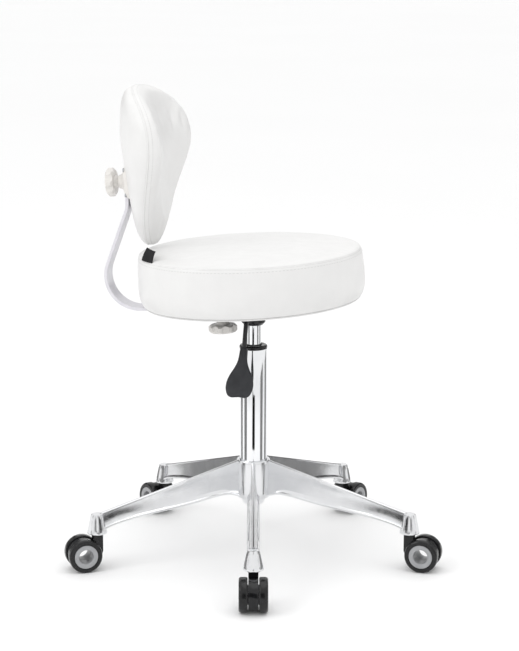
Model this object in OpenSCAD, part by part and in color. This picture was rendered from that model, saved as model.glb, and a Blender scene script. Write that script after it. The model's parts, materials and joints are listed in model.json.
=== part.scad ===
// Rolling salon stool: round tilted seat on a gas lift, wrap-around back pad on a
// flat J-shaped bar, and a five-star cast base on hollow twin-wheel casters.
// Millimetres. Origin: floor level on the column axis. +X seat front, +Z up.

/* [Seat] */
// Diameter of the seat cushion at its widest
seat_d = 406; // [380:1:430]
// Height of the cushion from its underside to the top seam
seat_h = 90; // [80:1:100]
// Rise of the crowned top above the seam
seat_crown = 7; // [3:0.5:12]
// Rearward tilt of the seat, in degrees
seat_tilt = 3.3; // [2:0.1:5]
// Height of the seat's underside at the column axis, gas lift down
seat_z = 472; // [466:1:480]
// Thickness of the plywood seat board
seat_board_t = 12; // [10:0.5:15]

/* [Backrest] */
// Height of the back pad
pad_h = 290; // [270:1:310]
// Half width of the pad outline at its middle height
pad_mid_w = 118; // [105:1:130]
// Extra half width towards the top, and as much less towards the bottom
pad_flare = 60; // [40:1:70]
// Thickness of the pad at its middle
pad_t = 66; // [60:1:70]
// Thickness of the pad near its rim
pad_edge_t = 40; // [30:1:44]
// How far the pad's side edges wrap forward
pad_wrap = 47; // [30:1:60]
// Rearward lean of the pad, in degrees
pad_lean = 4.4; // [3:0.1:6]
// Distance of the pad's middle behind the column axis
pad_back = 198; // [190:1:206]
// Height of the pad's middle above the floor, pad at its lowest
pad_z = 711; // [700:1:720]
// Width of the flat steel back bar
bar_w = 40; // [36:1:44]
// Thickness of the flat steel back bar
bar_t = 6; // [5:0.5:6.5]
// Bend radius of the bar's centre line below the seat
bar_bend_r = 60; // [54:1:66]
// Angle of the bar's sloping stretch from vertical, in degrees
bar_slope = 20; // [16:0.5:24]

/* [Column] */
// Outer diameter of the column tube
column_d = 50; // [46:1:54]
// Height of the column tube's top
column_top = 385; // [370:1:395]
// Diameter of the gas cylinder
cylinder_d = 28; // [26:0.5:30]

/* [Base] */
// Distance from the column axis to each caster stem
caster_radius = 294; // [280:1:310]
// Height of the hub's upper rim
hub_top = 178; // [165:1:190]
// Height of the hub's lower rim
hub_bottom = 108; // [100:1:115]
// Angle of the first arm from the front direction, in degrees
first_arm = -79.4; // [-90:0.1:0]
// Diameter of a caster wheel
wheel_d = 60; // [56:1:64]
// Width of one caster wheel
wheel_w = 15; // [13:0.5:17]
// Distance of the wheel axle behind the caster stem
caster_trail = 26; // [22:1:28]

/* [Knobs] */
// Diameter of a clamp knob
knob_d = 52; // [46:1:56]
// Thickness of a clamp knob's grip
knob_t = 14; // [12:0.5:16]

/* [Hidden] */
$fn = 64;
eps = 0.1;

vinyl = [0.93, 0.92, 0.9];
chrome = [0.8, 0.81, 0.83];
black = [0.1, 0.1, 0.11];
steel = [0.55, 0.56, 0.58];
knob_white = [0.88, 0.86, 0.84];

arm_count = 5;
column_r = column_d / 2;
hub_wall = 5;
hub_bore_bottom_r = column_r - 2;
tube_wall = 1.6;
tube_end_r = 20;
tube_end_z = hub_bottom - 13;
stem_r = 5.5;
stem_bore_top = 98;
boss_bottom = 66;
boss_top = 101;
boss_bottom_r = 17.5;
boss_top_r = 10.5;
housing_w = 17;
hub_sleeve_r = 16.95;
hub_hole_r = 13;
wheel_bore_r = 17;
wheel_in = 9.8;
wheel_out = wheel_in + wheel_w;
hub_flange_r = 21.5;
hub_flange_t = 1.5;

cylinder_r = cylinder_d / 2;
cylinder_bore_r = cylinder_r - 2.5;
cylinder_bottom = 120;
socket_bottom = 428.5;
cylinder_top = 446;
rod_r = 5;
guide_wall = 2.8;
plate_t = 4;
bar_low = -11;
guide_low = bar_low - 0.2 - guide_wall;
lever_pivot = 27;
lever_z = 452.5;
lever_r = 4;
lever_out = 58;
lever_bend_r = 12;
lever_slope = 64;
lever_drop = 55;
paddle_slope = 52.5;

bar_bend_back = 207.75;
bar_up = 226.5;
bar_top_z = 786;
bar_inner_end = 40;
kink_r = 30;
bar_white = [0.82, 0.81, 0.84];
seat_knob_x = -58.7;
seat_knob_z = -56.4;
back_knob_v = -27;
back_knob_n = -70;
bracket_rear = -40;
bracket_front = -17.5;
bracket_half_w = 32;
bracket_low = -57;
bracket_high = 4;
screw_l = 28;
pad_centre = 0.25;
back_board_t = 8;
board_share = 0.45;

// ---------- placing ----------
module at_arm(k) rotate([0, 0, first_arm + k * 360 / arm_count]) children();
module at_caster(k) at_arm(k) translate([caster_radius, 0, 0]) children();
module at_wheels(k) at_caster(k) translate([caster_trail, 0, wheel_d / 2]) rotate([-90, 0, 0]) children();
module in_seat() translate([0, 0, seat_z]) rotate([0, -seat_tilt, 0]) children();
module in_lever_plane() rotate([0, 0, -90]) children();
module lever_axis() in_lever_plane() translate([lever_pivot, 0, lever_z]) rotate([90, 0, 0]) children();
// Start of the lever's sloping stretch in its own plane, +Z running down it
module down_lever() {
    x = lever_out + lever_bend_r * sin(lever_slope);
    z = lever_z - lever_bend_r * (1 - cos(lever_slope));
    translate([x, 0, z]) rotate([0, 90 + lever_slope, 0]) children();
}
module in_pad() translate([-pad_back, 0, pad_z]) rotate([0, -pad_lean, 0]) children();
module ring(r_in, r_out, z0, z1) {
    difference() {
        translate([0, 0, z0]) cylinder(r = r_out, h = z1 - z0);
        translate([0, 0, z0 - eps]) cylinder(r = r_in, h = z1 - z0 + 2 * eps);
    }
}
function reversed(list) = [for (i = [len(list) - 1:-1:0]) list[i]];
module box(x0, x1, y0, y1, z0, z1) translate([x0, y0, z0]) cube([x1 - x0, y1 - y0, z1 - z0]);

// ---------- base ----------
// Heights of an arm's ridge and of its lower edge at a distance r from the axis
function ridge_z(r) = hub_top + 1 - 0.294 * (r - 28);
arm_stations = [[26, 110], [36, 113], [50, 117], [75, 114.5], [110, 107.5], [150, 99.5],
    [190, 94.5], [225, 89.5], [262, 80.5], [286, 72]];
// Cross-section of the hollow arm: a narrow ridge, concave flanks and a lip below
function arm_half(z1, z0) = let (h = z1 - z0) [
    [2.6, z1], [3.6, z1 - 1.6], [5.9, z0 + 0.5 * h], [9.2, z0 + 0.17 * h],
    [9.9, z0 + 4.6], [11.2, z0 + 3.8], [11.2, z0], [8.2, z0], [7, z0 + 5],
    [3.2, z0 + 0.5 * h], [1.2, z1 - 6]];
function arm_section(z1, z0) = let (half = arm_half(z1, z0), n = len(half)) concat(
    half, [for (i = [n - 1:-1:0]) [-half[i][0], half[i][1]]]);

module arm() {
    sections = [for (s = arm_stations) arm_section(ridge_z(s[0]), s[1])];
    n = len(sections[0]);
    m = len(sections);
    points = [for (j = [0:m - 1]) for (p = sections[j]) [arm_stations[j][0], p[0], p[1]]];
    sides = [for (j = [0:m - 2]) for (i = [0:n - 1])
        let (a = j * n + i, b = j * n + (i + 1) % n, c = a + n, d = b + n)
        each [[a, b, c], [b, d, c]]];
    caps = [[for (i = [n - 1:-1:0]) i], [for (i = [0:n - 1]) (m - 1) * n + i]];
    polyhedron(points, concat(sides, caps));
}

// Hub, arms and fluted end bosses as one casting, before its bores are cut
module star_blank() {
    cylinder(r = column_r + hub_wall, h = hub_top - hub_bottom);
    translate([0, 0, -hub_bottom]) for (k = [0:arm_count - 1]) {
        at_arm(k) arm();
        at_caster(k) translate([0, 0, boss_bottom])
            cylinder(r1 = boss_bottom_r, r2 = boss_top_r, h = boss_top - boss_bottom, $fn = 10);
    }
}
module base_casting() {
    color(chrome) difference() {
        translate([0, 0, hub_bottom]) resize([0, 0, 0]) star_blank();
        hub_bore();
        for (k = [0:arm_count - 1])
            at_caster(k) translate([0, 0, boss_bottom - 1])
                cylinder(r = stem_r, h = stem_bore_top - boss_bottom + 1);
    }
}
module hub_bore() {
    rise = (column_r - hub_bore_bottom_r) / (hub_top - hub_bottom);
    translate([0, 0, hub_bottom - 1])
        cylinder(r1 = hub_bore_bottom_r - rise, r2 = column_r + rise, h = hub_top - hub_bottom + 2);
}

module column_tube() {
    inner = column_r - tube_wall;
    color(chrome) rotate_extrude() polygon([
        [rod_r + 0.3, tube_end_z], [tube_end_r - 3, tube_end_z], [tube_end_r, tube_end_z + 3],
        [hub_bore_bottom_r, hub_bottom], [column_r, hub_top], [column_r, column_top],
        [inner, column_top], [inner, hub_top], [hub_bore_bottom_r - tube_wall, hub_bottom],
        [tube_end_r - 3, tube_end_z + 4], [rod_r + 0.3, tube_end_z + 4]]);
}
module column_collar() {
    color(black) rotate_extrude() polygon([
        [cylinder_r + 0.4, column_top], [column_r - 0.2, column_top], [column_r + 0.2, column_top + 1.5],
        [column_r + 0.2, column_top + 4], [column_r - 1, column_top + 6.2], [column_r - 4, column_top + 7],
        [cylinder_r + 3, column_top + 6.4], [cylinder_r + 0.4, column_top + 4.5]]);
}
module column_bush() {
    color(black) ring(cylinder_r + 0.06, column_r - tube_wall, column_top - 85, column_top);
}
module thrust_bearing() {
    ball_r = 1.5;
    race_t = 1.5;
    race_r = 11;
    floor_z = tube_end_z + 4;
    color(steel) {
        ring(rod_r + 0.3, race_r, floor_z, floor_z + race_t);
        ring(rod_r + 0.3, race_r, floor_z + race_t + 2 * ball_r, floor_z + 2 * race_t + 2 * ball_r);
        for (k = [0:7]) rotate([0, 0, k * 45])
            translate([8.2, 0, floor_z + race_t + ball_r]) sphere(r = ball_r - 0.01);
    }
}

// ---------- gas lift ----------
module piston_rod() {
    shoulder = tube_end_z + 10.2;
    color(steel) rotate_extrude() polygon([
        [0, tube_end_z - 7], [rod_r - 0.6, tube_end_z - 7], [rod_r, tube_end_z - 6.4],
        [rod_r, tube_end_z - 3.4], [rod_r - 1, tube_end_z - 3.4], [rod_r - 1, tube_end_z - 1.6],
        [rod_r, tube_end_z - 1.6], [rod_r, shoulder], [rod_r + 3.5, shoulder],
        [rod_r + 3.5, shoulder + 3], [rod_r, shoulder + 3], [rod_r, 408], [0, 408]]);
}
module piston() color(steel) ring(rod_r, cylinder_bore_r - 0.1, 392, 406);
module retaining_clip() {
    z0 = tube_end_z - 3.2;
    color(steel) difference() {
        ring(rod_r - 0.95, 9, z0, z0 + 1.4);
        box(0, 10, -3, 3, z0 - 1, z0 + 3);
    }
}
module gas_cylinder() {
    color(chrome) rotate_extrude() polygon([
        [cylinder_bore_r, cylinder_bottom], [cylinder_r - 0.6, cylinder_bottom],
        [cylinder_r, cylinder_bottom + 0.6], [cylinder_r, socket_bottom],
        [cylinder_r - 0.5, cylinder_top], [3.2, cylinder_top], [3.2, cylinder_top - 5],
        [cylinder_bore_r, cylinder_top - 5]]);
}
module rod_seal() color(black) ring(rod_r + 0.06, cylinder_bore_r, cylinder_bottom, cylinder_bottom + 12);
module release_button() {
    color("firebrick") union() {
        translate([0, 0, cylinder_top - 12]) cylinder(r = 3.1, h = 15);
        translate([0, 0, cylinder_top + 3]) cylinder(r1 = 3.1, r2 = 1.2, h = 1.4);
    }
}
module taper_socket() {
    color(black) difference() {
        union() {
            translate([0, 0, socket_bottom]) cylinder(r1 = 17, r2 = 21.8, h = 5);
            translate([0, 0, socket_bottom + 5]) cylinder(r = 21.8, h = 28);
            in_lever_plane() for (s = [-1, 1])
                box(15, lever_pivot + 6, s * 7 - 1.7, s * 7 + 1.7, lever_z - 5.5, lever_z + 5);
        }
        translate([0, 0, socket_bottom])
            cylinder(r1 = cylinder_r, r2 = cylinder_r - 0.5, h = cylinder_top - socket_bottom);
        translate([0, 0, cylinder_top - eps]) cylinder(r = cylinder_r - 0.5, h = 20);
        in_lever_plane() box(0, 40, -5.2, 5.2, lever_z - 6.5, lever_z + 20);
        lever_axis() cylinder(r = 2, h = 40, center = true);
        in_seat() box(-60, 60, -60, 60, guide_low, 20);
    }
}
module lever_pin() color(steel) lever_axis() cylinder(r = 2, h = 18, center = true);
module lever_rod() {
    flat_t = 4;
    color(black) difference() {
        in_lever_plane() {
            box(-4, lever_pivot, -4.5, 4.5, lever_z - flat_t / 2, lever_z + flat_t / 2);
            translate([lever_pivot, 0, lever_z]) rotate([90, 0, 0])
                cylinder(r = 5, h = 9.4, center = true);
            translate([lever_pivot + 3, 0, lever_z]) rotate([0, 90, 0])
                cylinder(r = lever_r, h = lever_out - lever_pivot - 3);
            translate([lever_out, 0, lever_z - lever_bend_r]) rotate([90, 0, 0])
                rotate([0, 0, 90 - lever_slope]) rotate_extrude(angle = lever_slope)
                    translate([lever_bend_r, 0]) circle(r = lever_r);
            down_lever() cylinder(r = lever_r, h = lever_drop + 8);
        }
        lever_axis() cylinder(r = 2.05, h = 40, center = true);
    }
}
// Half outline of the paddle: distance along it, then half width
paddle_half = [[-4, 7], [10, 7.6], [21, 9.6], [32, 14], [43, 19.6], [54, 23.5], [65, 24.7],
    [75, 23.6], [82.5, 19.5], [86.5, 14], [87, 8], [85.4, 2.5]];
module lever_paddle() {
    outline = concat(paddle_half, [for (p = reversed(paddle_half)) [p[0], -p[1]]]);
    color([0.2, 0.2, 0.22]) in_lever_plane() difference() {
        down_lever() {
            translate([0, 0, lever_drop - 14]) cylinder(r = 7, h = 22);
            translate([0, 0, lever_drop]) rotate([0, paddle_slope - lever_slope - 90, 0])
                translate([0, 0, -3.5]) linear_extrude(height = 7) polygon(outline);
        }
        down_lever() cylinder(r = lever_r, h = lever_drop + 8);
    }
}

// ---------- seat ----------
// Side profile of the cushion: rolled bottom edge, wall leaning in, crowned top
function roll_pts(r0, r1, z1, inset) =
    [for (a = [0:15:90]) [r0 + (r1 - r0) * sin(a), inset + (z1 - inset) * (1 - cos(a))]];
function crown_pts(r, z, rise) =
    [for (i = [0:6]) let (q = 1 - i / 6) [r * q, z + rise * (1 - q * q)]];
function seat_profile(skin) = let (r = seat_d / 2 - skin) concat(
    roll_pts(seat_d / 2 - 19, r, 34, skin), [[r - 1.4, seat_h * 0.72], [r - 5, seat_h - 2 - skin]],
    crown_pts(r - 6.5, seat_h - skin, seat_crown));

module seat_board() {
    color("tan") in_seat() difference() {
        cylinder(r = seat_d / 2 - 21, h = seat_board_t);
        for (x = [-60, 60]) for (y = [-62, 62]) translate([x, y, -1]) {
            cylinder(r = 4.5, h = seat_board_t + 2);
            translate([0, 0, seat_board_t - 1.7]) cylinder(r = 9, h = 3);
        }
    }
}
module seat_foam() {
    outer = [for (p = seat_profile(2)) if (p[1] > seat_board_t) p];
    color("khaki") in_seat() rotate_extrude()
        polygon(concat([[0, seat_board_t], [seat_d / 2 - 21, seat_board_t]], outer));
}
module seat_cover() {
    outer = seat_profile(0);
    hem = [[seat_d / 2 - 21, 2], [seat_d / 2 - 21, 0], [seat_d / 2 - 40, 0]];
    color(vinyl) in_seat() rotate_extrude() polygon(concat(
        [[seat_d / 2 - 40, -1.5], [seat_d / 2 - 19, -1.5]], outer, reversed(seat_profile(2)), hem));
}
module seat_welt() {
    color(vinyl) in_seat() translate([0, 0, seat_h])
        rotate_extrude() translate([seat_d / 2 - 5, 0]) circle(r = 1.8);
}
module dust_cover() {
    color(black) in_seat() difference() {
        translate([0, 0, -0.8]) cylinder(r = seat_d / 2 - 41, h = 0.8);
        box(-97, 82, -82, 82, -2, 2);
    }
}
module seat_tag() {
    color(black) in_seat() rotate([0, 0, 211]) translate([seat_d / 2 - 7, -22, seat_h - 2])
        rotate([0, -25, 0]) cube([1, 44, 21]);
}
module seat_plate() {
    color(black) in_seat() difference() {
        box(-95, 80, -80, 80, -plate_t, 0);
        for (x = [-60, 60]) for (y = [-62, 62]) translate([x, y, -10]) cylinder(r = 3.3, h = 20);
    }
}
module bar_guide() {
    inner = bar_w / 2 + 0.4;
    color(black) in_seat() difference() {
        box(-115, 45, -inner - guide_wall, inner + guide_wall, guide_low, -plate_t);
        box(-120, 50, -inner, inner, bar_low - 0.2, -plate_t + 1);
        translate([seat_knob_x, 0, guide_low - 20]) cylinder(r = 4.05, h = 40);
    }
    color(black) in_seat() translate([seat_knob_x, 0, 0]) ring(4.05, 11, guide_low - 9, guide_low);
}
module plate_bolts() {
    color(steel) in_seat() for (x = [-60, 60]) for (y = [-62, 62]) translate([x, y, -plate_t]) {
        translate([0, 0, -4.5]) cylinder(r = 5.7, h = 4.5, $fn = 6);
        cylinder(r = 3, h = plate_t + seat_board_t - 1);
    }
}
module tee_nuts() {
    color(steel) in_seat() for (x = [-60, 60]) for (y = [-62, 62]) translate([x, y, 0]) {
        ring(3, 4.4, 1, seat_board_t - 1.6);
        ring(3, 8.8, seat_board_t - 1.6, seat_board_t - 0.1);
    }
}

// ---------- clamp knobs ----------
// Fluted knob, its grip from z = 0 to knob_t and its neck above
module knob(neck) {
    flutes = 8;
    bevel = 3;
    difference() {
        union() {
            cylinder(r1 = knob_d / 2 - bevel, r2 = knob_d / 2, h = bevel);
            translate([0, 0, bevel]) cylinder(r = knob_d / 2, h = knob_t - 2 * bevel);
            translate([0, 0, knob_t - bevel])
                cylinder(r1 = knob_d / 2, r2 = knob_d / 2 - bevel - 1, h = bevel);
            translate([0, 0, knob_t - 1]) cylinder(r1 = 13, r2 = 9.5, h = neck + 1);
        }
        for (k = [0:flutes - 1]) rotate([0, 0, (k + 0.5) * 360 / flutes])
            translate([knob_d / 2 + 5.2, 0, -1]) cylinder(r = 9, h = knob_t + 2);
        translate([0, 0, 5]) cylinder(r = 4, h = 40);
    }
}
module seat_knob() color(knob_white) in_seat() translate([seat_knob_x, 0, seat_knob_z]) knob(8);
module seat_knob_screw() {
    color(steel) in_seat() translate([seat_knob_x, 0, seat_knob_z + 5])
        cylinder(r = 4, h = bar_low - 0.3 - seat_knob_z - 5);
}
module back_knob() {
    color(knob_white) in_pad() translate([back_knob_n, 0, back_knob_v]) rotate([0, 90, 0]) knob(6.5);
}
module back_knob_screw() {
    tip = -34.3;
    color(steel) in_pad() translate([back_knob_n + 5, 0, back_knob_v]) rotate([0, 90, 0])
        cylinder(r = 4, h = tip - back_knob_n - 5);
}

// ---------- back bar ----------
// Centre of the lower bend, level with the seat's tilted underside
bend_low_z = bar_low + bar_t / 2 + bar_bend_r;
bend_low_x = (-bar_bend_back + bend_low_z * sin(seat_tilt)) / cos(seat_tilt);
bend_z = seat_z + bend_low_x * sin(seat_tilt) + bend_low_z * cos(seat_tilt);
// Sloping stretch from the lower bend up to the upper one, and the upper one's centre height
slope_x = -bar_bend_back - bar_bend_r * cos(bar_slope);
slope_l = (-bar_up - kink_r * (1 - cos(bar_slope)) - slope_x) / sin(bar_slope);
kink_z = bend_z + bar_bend_r * sin(bar_slope) + slope_l * cos(bar_slope) + kink_r * sin(bar_slope);

function arc_points(x, z, r, from, to, steps) =
    [for (i = [0:steps]) let (a = from + (to - from) * i / steps) [x + r * cos(a), z + r * sin(a)]];
// One side of the bar in the vertical plane, d outwards of its centre line
function bar_side(d) = let (x = bar_inner_end, z = bar_low + bar_t / 2 - d) concat(
    [[x * cos(seat_tilt) - z * sin(seat_tilt), seat_z + x * sin(seat_tilt) + z * cos(seat_tilt)]],
    arc_points(-bar_bend_back, bend_z, bar_bend_r + d, 270 + seat_tilt, 180 - bar_slope, 20),
    arc_points(-bar_up - kink_r, kink_z, kink_r - d, -bar_slope, 0, 5),
    [[-bar_up - d, bar_top_z]]);
module back_bar() {
    color(bar_white) rotate([90, 0, 0]) linear_extrude(height = bar_w, center = true)
        polygon(concat(bar_side(bar_t / 2), reversed(bar_side(-bar_t / 2))));
}

// ---------- back pad ----------
// Half thickness of the pad at a share s of the way from its middle to its rim
function pad_half(s) = (pad_edge_t / 2 + (pad_t - pad_edge_t) / 2 * (1 - s * s)) * pow(1 - pow(s, 14), 0.45);
// Point of the pad at share s and direction a, offset n from the curved middle surface
function pad_point(s, a, n) = let (
    y = s * cos(a) * (pad_mid_w + pad_flare * sin(a)),
    v = pad_h / 2 * (pad_centre + s * (sin(a) - pad_centre)))
    [n + pad_wrap * pow(y / (pad_mid_w + pad_flare / 5), 2), y, v];
pad_shares = [0, 0.35, 0.6, 0.8, 0.94];
pad_sides = 36;

// Closed solid through rings of the pad: profile lists [share, offset] from the middle
// of its front face round the rim to the middle of its rear face
module pad_solid(profile) {
    n = pad_sides;
    m = len(profile);
    points = concat([pad_point(0, 0, profile[0][1])],
        [for (j = [1:m - 2]) for (i = [0:n - 1]) pad_point(profile[j][0], i * 360 / n, profile[j][1])],
        [pad_point(0, 0, profile[m - 1][1])]);
    last = 1 + (m - 2) * n;
    faces = concat(
        [for (i = [0:n - 1]) [0, 1 + (i + 1) % n, 1 + i]],
        [for (j = [0:m - 4]) for (i = [0:n - 1])
            let (a = 1 + j * n + i, b = 1 + j * n + (i + 1) % n)
            each [[a, b, a + n], [b, b + n, a + n]]],
        [for (i = [0:n - 1]) [last, last - n + i, last - n + (i + 1) % n]]);
    polyhedron(points, faces);
}
function board_face(s, side) = -board_share * pad_half(s) + side * back_board_t / 2;
face_shares = [0, 0.35, 0.6, 0.8];
rim_shares = [0.9, 0.96, 0.99];
// Room around the bar's straight top stretch
module bar_slot(clear, z0, z1) {
    box(-bar_up - bar_t / 2 - clear, -bar_up + bar_t / 2 + clear,
        -bar_w / 2 - clear, bar_w / 2 + clear, z0, z1);
}

module back_board() {
    color("tan") difference() {
        in_pad() pad_solid(concat([for (s = pad_shares) [s, board_face(s, 1)]],
            [for (s = reversed(pad_shares)) [s, board_face(s, -1)]]));
        bracket_holes();
    }
}
module back_front_pad() {
    color(vinyl) in_pad() pad_solid(concat(
        [for (s = concat(face_shares, rim_shares)) [s, pad_half(s)]], [[1, 0]],
        [for (s = reversed(pad_shares)) [s, board_face(s, 1)]]));
}
module back_rear_pad() {
    color(vinyl) difference() {
        in_pad() pad_solid(concat(
            [for (s = pad_shares) [s, board_face(s, -1)]], [[1, 0]],
            [for (s = reversed(concat(face_shares, rim_shares))) [s, -pad_half(s)]]));
        in_pad() box(-80, 0, -bracket_half_w - 0.2, bracket_half_w + 0.2,
            bracket_low - 0.2, bracket_high + 0.2);
        bar_slot(0.6, pad_z - pad_h / 2, bar_top_z + 4);
    }
}
module at_bracket_screws() {
    in_pad() for (y = [-26.5, 26.5]) for (v = [bracket_low + 8, bracket_high - 8])
        translate([bracket_rear, y, v]) rotate([0, 90, 0]) children();
}
module bracket_holes() at_bracket_screws() translate([0, 0, -eps]) cylinder(r = 2.2, h = screw_l + eps);
module back_bracket() {
    color(knob_white) difference() {
        in_pad() {
            box(bracket_rear, bracket_front, -bracket_half_w, bracket_half_w, bracket_low, bracket_high);
            translate([bracket_rear - 9, 0, back_knob_v]) rotate([0, 90, 0])
                cylinder(r1 = 12, r2 = 17, h = 9);
        }
        bar_slot(0.2, 600, 800);
        in_pad() translate([bracket_rear - 10, 0, back_knob_v]) rotate([0, 90, 0]) cylinder(r = 4.05, h = 18);
        bracket_holes();
    }
}
module bracket_screws() {
    color(steel) at_bracket_screws() {
        translate([0, 0, -2.4]) cylinder(r1 = 3, r2 = 4.2, h = 2.4);
        cylinder(r = 2.2, h = screw_l);
    }
}

// ---------- casters ----------
module caster_stem(k) {
    color(steel) at_caster(k) {
        translate([0, 0, 38]) cylinder(r = stem_r, h = stem_bore_top - 38);
        translate([0, 0, boss_bottom - 1]) cylinder(r = 8, h = 1);
    }
}
module caster_housing(k) {
    x1 = housing_w / 2;
    axle_z = wheel_d / 2;
    color(black) at_caster(k) difference() {
        union() {
            rotate([90, 0, 0]) linear_extrude(height = housing_w, center = true)
                polygon([[-x1, boss_bottom - 1.3], [x1, boss_bottom - 1.3], [x1, axle_z + 19],
                    [caster_trail, axle_z + 19], [caster_trail, 6], [6, 10], [-4, 20], [-x1, 34]]);
            translate([caster_trail, 0, axle_z]) rotate([90, 0, 0])
                cylinder(r = wheel_d / 2 - 2.5, h = housing_w, center = true);
        }
        translate([0, 0, 36]) cylinder(r = stem_r + 0.05, h = 40);
        translate([caster_trail, 0, axle_z]) rotate([90, 0, 0])
            cylinder(r = hub_sleeve_r, h = 40, center = true);
    }
}
// Two flanged sleeves pressed into the housing from either side, with the open hole through them
module caster_hub(k) {
    lip = wheel_out - 1.6;
    face = lip + hub_flange_t;
    color([0.62, 0.63, 0.65]) at_wheels(k) for (s = [0, 1]) mirror([0, 0, s]) rotate_extrude() polygon([
        [hub_hole_r, 0.1], [hub_sleeve_r, 0.1], [hub_sleeve_r, lip], [hub_flange_r, lip],
        [hub_flange_r - 0.4, face], [hub_hole_r + 1.5, face], [hub_hole_r, face - 1]]);
}
module caster_wheel(k, side) {
    r = wheel_d / 2;
    recess = wheel_out - 1.9;
    color(black) at_wheels(k) mirror([0, 0, side]) rotate_extrude($fn = 96) polygon([
        [wheel_bore_r, wheel_in], [r - 1.5, wheel_in], [r, wheel_in + 2], [r, wheel_out - 3.5],
        [r - 1, wheel_out - 1.2], [r - 3, wheel_out], [hub_flange_r + 0.5, wheel_out],
        [hub_flange_r + 0.5, recess], [wheel_bore_r, recess]]);
}

base_casting();
column_tube();
column_collar();
column_bush();
thrust_bearing();
piston_rod();
piston();
retaining_clip();
gas_cylinder();
rod_seal();
release_button();
taper_socket();
lever_pin();
lever_rod();
lever_paddle();
seat_plate();
bar_guide();
plate_bolts();
tee_nuts();
seat_board();
seat_foam();
seat_cover();
seat_welt();
dust_cover();
seat_tag();
seat_knob();
seat_knob_screw();
back_bar();
back_board();
back_front_pad();
back_rear_pad();
back_bracket();
bracket_screws();
back_knob();
back_knob_screw();
caster_stem(0);  // caster_1_stem
caster_housing(0);  // caster_1_housing
caster_hub(0);  // caster_1_hub
caster_wheel(0, 0);  // caster_1_wheel_l
caster_wheel(0, 1);  // caster_1_wheel_r
caster_stem(1);  // caster_2_stem
caster_housing(1);  // caster_2_housing
caster_hub(1);  // caster_2_hub
caster_wheel(1, 0);  // caster_2_wheel_l
caster_wheel(1, 1);  // caster_2_wheel_r
caster_stem(2);  // caster_3_stem
caster_housing(2);  // caster_3_housing
caster_hub(2);  // caster_3_hub
caster_wheel(2, 0);  // caster_3_wheel_l
caster_wheel(2, 1);  // caster_3_wheel_r
caster_stem(3);  // caster_4_stem
caster_housing(3);  // caster_4_housing
caster_hub(3);  // caster_4_hub
caster_wheel(3, 0);  // caster_4_wheel_l
caster_wheel(3, 1);  // caster_4_wheel_r
caster_stem(4);  // caster_5_stem
caster_housing(4);  // caster_5_housing
caster_hub(4);  // caster_5_hub
caster_wheel(4, 0);  // caster_5_wheel_l
caster_wheel(4, 1);  // caster_5_wheel_r
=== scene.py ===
import json
import math

import bmesh
import bpy
from mathutils import Matrix, Vector
from mathutils.bvhtree import BVHTree


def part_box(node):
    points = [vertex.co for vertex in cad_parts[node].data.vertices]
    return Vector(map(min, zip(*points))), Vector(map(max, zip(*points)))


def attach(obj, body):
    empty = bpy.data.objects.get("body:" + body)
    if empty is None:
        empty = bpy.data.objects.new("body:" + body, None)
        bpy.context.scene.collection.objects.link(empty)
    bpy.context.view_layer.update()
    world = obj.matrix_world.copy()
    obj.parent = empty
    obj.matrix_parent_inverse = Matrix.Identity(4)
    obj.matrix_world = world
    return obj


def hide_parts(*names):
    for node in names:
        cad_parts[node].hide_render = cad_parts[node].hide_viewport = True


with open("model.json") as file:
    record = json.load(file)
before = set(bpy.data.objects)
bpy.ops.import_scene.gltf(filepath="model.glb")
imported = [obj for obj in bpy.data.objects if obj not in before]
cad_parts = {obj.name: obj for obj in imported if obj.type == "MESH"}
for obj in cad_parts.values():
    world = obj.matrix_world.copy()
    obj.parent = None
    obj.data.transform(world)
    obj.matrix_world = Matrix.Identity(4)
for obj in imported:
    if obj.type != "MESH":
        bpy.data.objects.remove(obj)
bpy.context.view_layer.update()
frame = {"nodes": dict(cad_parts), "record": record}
scene = bpy.context.scene
record = frame["record"]
JOINTS = {j["name"]: j for j in record["behaviour"]["joints"]}
MM = 0.001


def rad(degrees):
    return math.radians(degrees)


# ---------------------------------------------------------------- camera
AZIMUTH, PITCH = rad(10.6), rad(11.75)
DISTANCE, HEIGHT = 3.5, 1.154
cam_data = bpy.data.cameras.new("camera")
cam = bpy.data.objects.new("camera", cam_data)
scene.collection.objects.link(cam)
cam.location = (DISTANCE * math.sin(AZIMUTH), -DISTANCE * math.cos(AZIMUTH), HEIGHT)
cam.rotation_euler = (math.pi / 2 - PITCH, 0, AZIMUTH)
cam_data.sensor_width = 36
cam_data.lens = 109.9
cam_data.shift_x = 0.0094
cam_data.clip_end = 200
scene.camera = cam


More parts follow.
